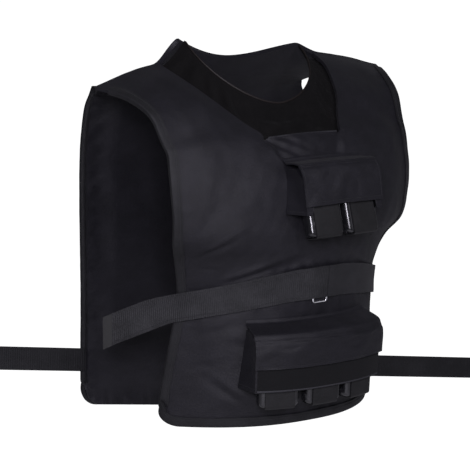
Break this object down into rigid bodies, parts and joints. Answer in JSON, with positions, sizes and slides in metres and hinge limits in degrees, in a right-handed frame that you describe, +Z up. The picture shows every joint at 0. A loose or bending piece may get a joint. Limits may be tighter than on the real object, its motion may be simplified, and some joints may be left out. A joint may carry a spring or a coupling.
{
  "type": "weighted vest",
  "caption": "Black padded weighted vest in its worn form, with chest and waist weight pouches, a front belt and side straps pulled outwards.",
  "frame": {"origin": "middle of the neck opening at the height of the shoulders, where the vest rests on its wearer", "axes": "+Z up, the wearer faces -Y, the wearer's right is -X"},
  "size_m": [1.2203, 0.3535, 0.6537],
  "materials": {
    "nylon": "black woven nylon, slight sheen",
    "tape": "black woven binding tape",
    "webbing": "black ribbed webbing",
    "mesh": "brown-black stretch mesh",
    "pile": "black loop pile",
    "weight": "gloss black coat",
    "nickel": "bright plated wire"
  },
  "bodies": {
    "root": {"front_panel": "nylon", "back_panel": "nylon", "front_binding": "tape", "back_binding": "tape", "collar_insert": "mesh", "chest_pouch": "nylon", "chest_flap": "nylon", "chest_weight_1": "weight", "chest_loop_1": "webbing", "chest_weight_2": "weight", "chest_loop_2": "webbing", "waist_pouch": "nylon", "waist_flap": "nylon", "waist_weight_1": "weight", "waist_loop_1": "webbing", "waist_weight_2": "weight", "waist_loop_2": "webbing", "waist_weight_3": "weight", "waist_loop_3": "webbing", "waist_strip": "pile", "front_belt": "webbing", "side_belt": "webbing", "belt_ring": "nickel", "back_strap_right": "webbing", "back_strap_left": "webbing"}
  },
  "joints": []
}
